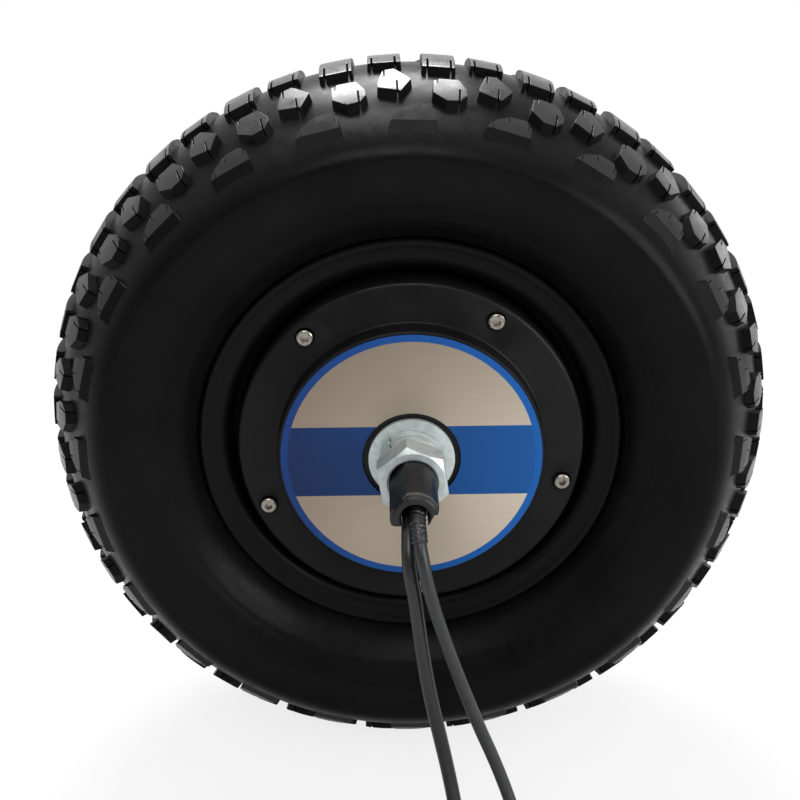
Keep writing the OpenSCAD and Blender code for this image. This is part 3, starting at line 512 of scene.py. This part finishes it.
# ---------------------------------------------------------------- tyre
TYRE_R = 199.5
HALF_W = 67.0
TREAD_HALF = 56.5
BLOCK_H = 4.0
CROWN_R = 78.0
CASING_T = 9.0
WALL_T = 7.0
BEAD_R = 101.6
FLANGE_R = 114.5
RIM_HALF = 36.5
PITCHES = 24
CASING_R = TYRE_R - BLOCK_H
CROWN_HALF = TREAD_HALF - 12.5
WIDEST_R = (TYRE_R + BEAD_R) / 2 + 8
WALL_H = WIDEST_R - FLANGE_R
SEAT = 0.03
BEAD_TOE = RIM_HALF - 12.5
MOULDED_RINGS = ((133.0, 0.35), (128.6, 0.5), (124.6, 0.35))  # radius and height of each
MOULDED_RING_W = 0.75
BLOCK_EDGE_R = 0.3
BLOCK_SINK = 0.6
BLOCK_DRAFT = 0.035
LUG_CUTS = (TREAD_HALF - 0.5, TREAD_HALF, TREAD_HALF + 0.5, 58.5, 62.5, 65)
TOP_FACING = 0.55
TYRE_CREASE = 50


def crown(top, depth):
    """Radius at a depth, on an arc about the tread's own centre whose top is at the given radius."""
    r = CROWN_R - TYRE_R + top
    return top - r + math.sqrt(r * r - depth * depth)


def bezier(a, b, c, d, n):
    """Points on a cubic curve, its ends included."""
    a, b, c, d = (np.array(p, float) for p in (a, b, c, d))
    return [(1 - t) ** 3 * a + 3 * (1 - t) ** 2 * t * b + 3 * (1 - t) * t * t * c + t ** 3 * d
            for t in (k / n for k in range(n + 1))]


def casing_outline():
    """Half of the casing's outer outline, from the crown to the bead, as radius and depth."""
    top = [(crown(CASING_R, d), d) for d in np.linspace(0, CROWN_HALF, 15)]
    shoulder = crown(CASING_R, CROWN_HALF)
    upper = bezier((shoulder, CROWN_HALF), (shoulder - 5.2, CROWN_HALF + 7.3),
                   (WIDEST_R + (shoulder - WIDEST_R) * 0.4, HALF_W - 0.8), (WIDEST_R, HALF_W), 20)
    lower = bezier((WIDEST_R, HALF_W), (WIDEST_R - WALL_H * 0.48, HALF_W), (FLANGE_R + 4, RIM_HALF + 15),
                   (FLANGE_R + 0.9, RIM_HALF + 5.5), 26)
    return [tuple(p) for p in top] + [tuple(p) for p in upper[1:]] + [tuple(p) for p in lower[1:]]


OUTER = casing_outline()
UPPER = [p for p in OUTER if p[0] >= WIDEST_R]
LUG_TOP_R = crown(TYRE_R, TREAD_HALF)


def casing_at(depth):
    """Radius of the casing's outside."""
    return float(np.interp(depth, [p[1] for p in UPPER], [p[0] for p in UPPER]))


def tread_at(depth):
    """Radius of the blocks' outside: the crown, then the shoulder blocks' flat faces."""
    if depth <= TREAD_HALF:
        return crown(TYRE_R, depth)
    t = (depth - TREAD_HALF) / (HALF_W - 0.6 - TREAD_HALF)
    return LUG_TOP_R + (WIDEST_R - LUG_TOP_R) * t


def notch(outline, edge, at, way, width=0.8, length=6.0):
    """The outline with a narrow slot cut in from one edge along the axle's direction."""
    a, b = np.array(outline[edge], float), np.array(outline[(edge + 1) % len(outline)], float)
    e = (b - a) / np.linalg.norm(b - a)
    p, deep = a + (b - a) * at, np.array([0, way * length])
    slot = [p - e * width / 2, p - e * width / 2 + deep, p + e * width / 2 + deep, p + e * width / 2]
    return outline[:edge + 1] + [tuple(q) for q in slot] + outline[edge + 1:]


LUG_W, HEX_W, RIB_W = 22.0, 16.5, 16.5
LUG_BACK = TREAD_HALF - 7
RIB_FRONT, RIB_REAR = 22.5, -16.5
LUG = [(LUG_W / 2, LUG_BACK + 3.3), (LUG_W * 0.36, LUG_BACK), (0, LUG_BACK + 0.3),
       (-LUG_W * 0.39, LUG_BACK + 4.2), (-LUG_W / 2, LUG_BACK + 7.3), (-LUG_W / 2, HALF_W - 0.9),
       (LUG_W / 2, HALF_W - 0.9)]
OUTER_HEX = [(-HEX_W / 2, 35.5), (-HEX_W / 2, 43.2), (-HEX_W * 0.09, 47.2), (HEX_W * 0.32, 46.6),
             (HEX_W / 2, 43.6), (HEX_W / 2, 40.2), (HEX_W * 0.24, 33.5), (-HEX_W * 0.31, 33.8)]
INNER_HEX = [(-HEX_W / 2, 36.8), (-HEX_W / 2, 39.5), (HEX_W * 0.19, 42.4), (HEX_W / 2, 34.7),
             (0, 25.2), (-HEX_W * 0.33, 26.3)]
RIB = [(-RIB_W / 2, RIB_REAR), (-RIB_W / 2, RIB_FRONT), (RIB_W / 2, RIB_FRONT), (RIB_W / 2, RIB_REAR)]
OUTER_HEX_TURN, INNER_HEX_TURN, RIB_TURN = 5.6, -2.6, 3.95


def sipes():
    """Each block's outline with its thin slots.

    A slot moves the later edges on, so the last edge's slot is cut first.
    """
    lug = notch(notch(notch(LUG, 2, 0.92, 1, length=2.6), 2, 0.06, 1, length=2.4), 0, 0.5, 1, length=2.6)
    outer = notch(notch(OUTER_HEX, 7, 0.38, 1, length=2.8), 2, 0.9, -1, length=6.6)
    inner = notch(notch(INNER_HEX, 4, 0.88, 1), 1, 0.84, -1, length=6.5)
    rib = notch(notch(RIB, 3, 0.83, 1, length=12), 3, 0.157, 1, length=12)
    rib = notch(notch(rib, 1, 0.87, -1, length=12), 1, 0.195, -1, length=12)
    return lug, outer, inner, rib


def flat_block(outline, cut_step=4.0, extra_cuts=()):
    """A prism on the outline in flat space: along the tread, depth, height.

    Its edges are rounded, and it is cut across so that it can be bent to the tread's curve.
    """
    bm = bmesh.new()
    top = [bm.verts.new((u, d, BLOCK_H)) for u, d in outline]
    low = [bm.verts.new((u, d, 0)) for u, d in outline]
    bm.faces.new(top)
    n = len(outline)
    for i in range(n):
        bm.faces.new((top[i], low[i], low[(i + 1) % n], top[(i + 1) % n]))
    bmesh.ops.recalc_face_normals(bm, faces=bm.faces)
    bm.edges.ensure_lookup_table()
    sharp = [e for e in bm.edges if not e.is_boundary]
    bmesh.ops.bevel(bm, geom=sharp, offset=BLOCK_EDGE_R, segments=2, profile=0.5, affect="EDGES",
                    clamp_overlap=True)
    depths = [d for _, d in outline]
    first_cut = math.ceil(min(depths) / cut_step) * cut_step
    for d in list(np.arange(first_cut, max(depths), cut_step)) + list(extra_cuts):
        if min(depths) < d < max(depths):
            bmesh.ops.bisect_plane(bm, geom=bm.verts[:] + bm.edges[:] + bm.faces[:], dist=1e-5,
                                   plane_co=(0, d, 0), plane_no=(0, 1, 0))
    bmesh.ops.triangulate(bm, faces=[f for f in bm.faces if len(f.verts) > 4])
    bm.verts.index_update()
    verts = [tuple(v.co) for v in bm.verts]
    faces = [tuple(v.index for v in f.verts) for f in bm.faces]
    bm.free()
    return verts, faces


def bent(verts, turn):
    """The flat block's points on the tyre, at a clockwise turn from the top seen from the cables."""
    c, s = math.cos(math.radians(turn)), math.sin(math.radians(turn))
    out = []
    for u, d, h in verts:
        share = h / BLOCK_H
        foot = casing_at(abs(d)) - BLOCK_SINK
        r = foot + (tread_at(abs(d)) - foot) * share
        u *= 1 + BLOCK_DRAFT * (1 - share)
        q = math.sqrt(r * r - u * u)
        out.append((u * c + q * s, -d, -u * s + q * c))
    return out


def lathe(outline, segments=360):
    """Turns a closed outline of (radius, depth) about the axle's line."""
    verts = []
    for k in range(segments):
        w = 2 * math.pi * k / segments
        s, c = math.sin(w), math.cos(w)
        verts += [(r * s, -d, r * c) for r, d in outline]
    return verts, ring_faces(len(outline), segments)


def full_section():
    """The casing's whole outline: outside, beads and inside, with moulded rings near the beads."""
    outside = []
    for r, d in OUTER:
        ring = 0.0
        for at, high in MOULDED_RINGS:
            ring += high * math.exp(-((r - at) / MOULDED_RING_W) ** 2) if d > RIM_HALF else 0
        outside.append((r, d + ring))
    bead = [(FLANGE_R + 0.5, RIM_HALF + 0.3), (FLANGE_R - 0.9, RIM_HALF - SEAT),
            (BEAD_R + 1.1, RIM_HALF - SEAT), (BEAD_R + SEAT, RIM_HALF - 1.1), (BEAD_R + SEAT, BEAD_TOE),
            (BEAD_R + 3.5, BEAD_TOE - 1.5)]
    inner_z = CROWN_HALF - 6
    inner_r = crown(CASING_R - CASING_T, inner_z)
    inside = [tuple(p) for p in bezier(bead[-1], (FLANGE_R, RIM_HALF - 1),
                                       (WIDEST_R - WALL_H * 0.59, HALF_W - WALL_T),
                                       (WIDEST_R, HALF_W - WALL_T), 8)[1:]]
    inside += [tuple(p) for p in bezier((WIDEST_R, HALF_W - WALL_T),
                                        (WIDEST_R + (inner_r - WIDEST_R) * 0.45, HALF_W - WALL_T),
                                        (inner_r - 4.6, inner_z + 7.5), (inner_r, inner_z), 6)[1:]]
    inside += [(crown(CASING_R - CASING_T, d), d) for d in (inner_z * 2 / 3, inner_z / 3, 0)]
    half = outside + bead + inside
    far = [(r, -d) for r, d in reversed(half[1:-1])]
    return half + far


def make_tyre():
    """The casing with its blocks, each on both sides; the blocks' outer faces are the glossier ones."""
    verts, faces = lathe(full_section())
    casing_faces = len(faces)
    lug, outer, inner, rib = sipes()
    kinds = [(flat_block(lug, extra_cuts=LUG_CUTS), 0.0), (flat_block(outer), OUTER_HEX_TURN),
             (flat_block(inner), INNER_HEX_TURN), (flat_block(rib, cut_step=3.0), RIB_TURN)]
    for k in range(PITCHES):
        for (flat, flat_faces), turn in kinds:
            near = bent(flat, k * 360 / PITCHES + turn)
            for block in (near, [(x, -y, -z) for x, y, z in near]):
                start = len(verts)
                verts += block
                faces += [tuple(start + i for i in reversed(f)) for f in flat_faces]
    tyre = mesh_object("tyre_whole", verts, faces, "tyre_rubber", "wheel")
    tyre.data.materials.append(TREAD_FACES)
    for face in tyre.data.polygons[casing_faces:]:
        out = Vector((face.center.x, 0, face.center.z)).normalized()
        face.material_index = 1 if face.normal.dot(out) > TOP_FACING else 0
    tyre.data.set_sharp_from_angle(angle=math.radians(TYRE_CREASE))
    even = tyre.modifiers.new("flat_faces", "WEIGHTED_NORMAL")
    even.keep_sharp = True
    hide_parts("tyre")


make_tyre()


# ---------------------------------------------------------------- nut and spring washers
THREAD_R = 12.0
NUT_AF = 34.0
NUT_BACK, NUT_FRONT = 73.4, 88.2
NUT_TURN = -9.4
NUT_FACE_R = 16.3
CHAMFER_SLOPE = math.tan(math.radians(30))
NUT_EDGE, NUT_CREASE = 0.16, 25
LOCK_R, LOCK_BORE_R = 17.2, 12.4
LOCK_RINGS = ((60.5, 66.1), (66.35, 73.3))
LOCK_SPLIT = -41.0
LOCK_GAP = 2.6
LOCK_SPRING = 0.22
LOCK_SLANT = math.radians(2.2)
LOCK_EDGE = 0.3
LOCK_CREASE = 50


def soften(obj, width_mm, angle):
    """Rounds the edges that are sharper than the angle."""
    bevel = obj.modifiers.new("edges", "BEVEL")
    bevel.width = width_mm * MM
    bevel.segments = 2
    bevel.limit_method = "ANGLE"
    bevel.angle_limit = math.radians(angle)
    bevel.harden_normals = True


def make_front_nut():
    """A hexagon nut whose corners are turned away on a 30 degree cone, front and back."""
    per_side, verts = 24, []
    for k in range(6 * per_side):
        w = 60 * k / per_side
        edge_r = NUT_AF / 2 / math.cos(math.radians(abs(w % 60 - 30)))
        drop = max(0.0, edge_r - NUT_FACE_R) * CHAMFER_SLOPE
        profile = [(THREAD_R + 0.1, NUT_BACK + 1), (THREAD_R + 0.1, NUT_FRONT - 1.1),
                   (THREAD_R + 1.2, NUT_FRONT), (NUT_FACE_R, NUT_FRONT), (edge_r, NUT_FRONT - drop),
                   (edge_r, NUT_BACK + drop), (NUT_FACE_R, NUT_BACK), (THREAD_R + 1.1, NUT_BACK)]
        c, s = math.cos(math.radians(w + NUT_TURN)), math.sin(math.radians(w + NUT_TURN))
        verts += [(r * s, -d, r * c) for r, d in profile]
    faces = ring_faces(len(profile), 6 * per_side)
    nut = mesh_object("front_nut_chamfered", verts, faces, "zinc", "axle")
    nut.data.set_sharp_from_angle(angle=math.radians(NUT_CREASE))
    soften(nut, NUT_EDGE, NUT_CREASE)
    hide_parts("front_nut")


def make_lock_washers():
    """Split spring washers: rings cut through at a slant, their ends sprung a little apart."""
    steps, verts, faces = 150, [], []
    for back, front in LOCK_RINGS:
        start = len(verts)
        for k in range(steps + 1):
            w = math.radians(LOCK_SPLIT + LOCK_GAP / 2 + (360 - LOCK_GAP) * k / steps)
            spring = LOCK_SPRING * (abs(k / steps - 0.5) * 2) ** 6 * (1 if k > steps / 2 else -1)
            for r, d in ((LOCK_BORE_R, back), (LOCK_R - LOCK_EDGE, back), (LOCK_R, back + LOCK_EDGE),
                         (LOCK_R, front - LOCK_EDGE), (LOCK_R - LOCK_EDGE, front), (LOCK_BORE_R, front)):
                v = w + LOCK_SLANT * ((d - back) / (front - back) - 0.5)
                d = min(max(d + spring, LOCK_RINGS[0][0]), LOCK_RINGS[-1][1])
                verts.append((r * math.sin(v), -d, r * math.cos(v)))
        for k in range(steps):
            for i in range(6):
                j = (i + 1) % 6
                a, b = start + k * 6, start + (k + 1) * 6
                faces.append((a + i, a + j, b + j, b + i))
        faces += [tuple(start + i for i in reversed(range(6))),
                  tuple(start + steps * 6 + i for i in range(6))]
    rings = mesh_object("front_lock_washers", verts, faces, "zinc", "axle")
    rings.data.set_sharp_from_angle(angle=math.radians(LOCK_CREASE))
    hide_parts("front_spring_washer")


make_front_nut()
make_lock_washers()


# ---------------------------------------------------------------- carried-over CAD pieces
REPLACED = {"tyre", "power_cable", "power_cable_coil", "power_cable_tail", "sensor_cable",
            "sensor_cable_coil", "sensor_cable_tail", "front_nut", "front_spring_washer"}
EDGE_WIDTHS = {"rear_nut": 0.35, "front_flat_washer": 0.3, "rear_flat_washer": 0.3,
               "rear_spring_washer": 0.3, "cover_screws": 0.12, "front_cover": 0.25, "rim": 0.3,
               "axle_shaft": 0.2, "power_plug": 0.3, "sensor_plug": 0.4, "valve_cap": 0.2,
               "valve_stem": 0.2, "power_tie": 0.15, "sensor_tie": 0.15}
CREASE = 32
WELD_M = 0.00001


def dress_nodes():
    """Every CAD node gets its slot's finish; edges are softened where they can be seen."""
    for part in frame["record"]["subparts"]:
        name = part["node"]
        if name in REPLACED:
            continue
        obj = frame["nodes"][name]
        paint(obj, part["material_slot"])
        for face in obj.data.polygons:
            face.use_smooth = True
        weld = obj.modifiers.new("weld", "WELD")
        weld.merge_threshold = WELD_M
        if name in EDGE_WIDTHS:
            soften(obj, EDGE_WIDTHS[name], CREASE)
        split = obj.modifiers.new("crease", "EDGE_SPLIT")
        split.split_angle = math.radians(CREASE)


dress_nodes()


# ---------------------------------------------------------------- studio
FLOOR_HALF_M = 12.0
FLOOR_DROP = 0.2
SHADOW_SHARE = 0.2
SHADOW_FADE_M = (0.35, 1.3)
FLOOR_LIT, FLOOR_BOUNCE, FLOOR_MIRRORED = 0.7, 0.4, 0.22
WORLD_LEAN = (0.75, 0.65)  # how far the world's light comes from behind, and from above
WORLD_FADE = (-0.6, 0.8)
WORLD_LEVELS = (0.2, 1.0)


class Studio(Nodes):
    """The floor's or the world's shader, from an empty tree."""

    def __init__(self, tree, output):
        super().__init__(tree)
        tree.nodes.clear()
        self.out = self.node(output)
        self.path = self.node("ShaderNodeLightPath").outputs

    def ranged(self, value, start, end, low, high):
        """The value's run from start to end, carried softly over to low to high."""
        n = self.node("ShaderNodeMapRange", interpolation_type="SMOOTHSTEP")
        self.link(value, n.inputs["Value"])
        for socket, number in zip(("From Min", "From Max", "To Min", "To Max"), (start, end, low, high)):
            n.inputs[socket].default_value = number
        return n.outputs[0]

    def shader(self, kind, strength=None, level=1.0):
        """A shader of a grey level, with a strength where its kind has one."""
        n = self.node(kind)
        n.inputs["Color"].default_value = (level, level, level, 1)
        if strength is not None:
            self.feed(n.inputs["Strength"], strength)
        return n.outputs[0]

    def blend(self, factor, a, b):
        """Shader a where the factor is 0, and shader b where it is 1."""
        n = self.node("ShaderNodeMixShader")
        for socket, output in zip(n.inputs, (factor, a, b)):
            self.link(output, socket)
        return n.outputs[0]


def make_floor():
    """White to the camera but for the object's shadow; a pale grey to everything else."""
    mesh = bpy.data.meshes.new("floor")
    h, z = FLOOR_HALF_M, (GROUND_Z - FLOOR_DROP) * MM
    mesh.from_pydata([(-h, -h, z), (h, -h, z), (h, h, z), (-h, h, z)], [], [(0, 1, 2, 3)])
    floor = bpy.data.objects.new("floor", mesh)
    bpy.context.scene.collection.objects.link(floor)
    mat = bpy.data.materials.new("floor")
    mat.use_nodes = True
    st = Studio(mat.node_tree, "ShaderNodeOutputMaterial")
    far = st.node("ShaderNodeVectorMath", operation="LENGTH")
    st.link(st.node("ShaderNodeTexCoord").outputs["Object"], far.inputs[0])
    near = st.ranged(far.outputs["Value"], *SHADOW_FADE_M, SHADOW_SHARE, 0.0)
    seen = st.blend(near, st.shader("ShaderNodeEmission", 1.0),
                    st.shader("ShaderNodeBsdfDiffuse", level=FLOOR_LIT))
    mirrored = st.shader("ShaderNodeEmission",
                         st.math("MULTIPLY", st.path["Is Glossy Ray"], FLOOR_MIRRORED))
    added = st.node("ShaderNodeAddShader")
    st.link(mirrored, added.inputs[0])
    st.link(st.shader("ShaderNodeBsdfDiffuse", level=FLOOR_BOUNCE), added.inputs[1])
    st.link(st.blend(st.path["Is Camera Ray"], added.outputs[0], seen), st.out.inputs["Surface"])
    mesh.materials.append(mat)


def make_world():
    """White to the camera; for light and reflections it is white above and behind, dim in front."""
    world = bpy.data.worlds.new("studio")
    bpy.context.scene.world = world
    world.use_nodes = True
    st = Studio(world.node_tree, "ShaderNodeOutputWorld")
    way = st.node("ShaderNodeSeparateXYZ")
    st.link(st.node("ShaderNodeTexCoord").outputs["Generated"], way.inputs[0])
    back_and_up = st.math("ADD", st.math("MULTIPLY", way.outputs["Y"], WORLD_LEAN[0]),
                          st.math("MULTIPLY", way.outputs["Z"], WORLD_LEAN[1]))
    light = st.ranged(back_and_up, *WORLD_FADE, *WORLD_LEVELS)
    clear = st.math("MAXIMUM", st.path["Is Camera Ray"], st.path["Is Transmission Ray"])
    st.link(st.blend(clear, st.shader("ShaderNodeBackground", light), st.shader("ShaderNodeBackground", 1.0)),
            st.out.inputs["Surface"])


def area_light(name, at, aim, width, depth, watts):
    """A soft lamp; at, aim, width and depth are in metres."""
    data = bpy.data.lights.new(name, "AREA")
    data.shape = "RECTANGLE"
    data.size, data.size_y = width, depth
    data.energy = watts
    lamp = bpy.data.objects.new(name, data)
    lamp.location = at
    lamp.rotation_mode = "QUATERNION"
    lamp.rotation_quaternion = (Vector(aim) - Vector(at)).to_track_quat("-Z", "Y")
    lamp.visible_camera = False
    bpy.context.scene.collection.objects.link(lamp)


make_floor()
make_world()
area_light("above_behind", (-0.1, 0.55, 1.1), (0, 0, 0.15), 0.6, 0.6, 24)
area_light("right_behind", (1.35, 0.85, 0.3), (0.1, 0, 0.05), 0.6, 0.9, 3)
area_light("front_right", (1.2, -1.0, 0.45), (0, 0, 0), 0.9, 0.9, 13)
area_light("above_camera", (-0.1, -1.2, 1.3), (0, 0, 0), 0.8, 0.8, 9)
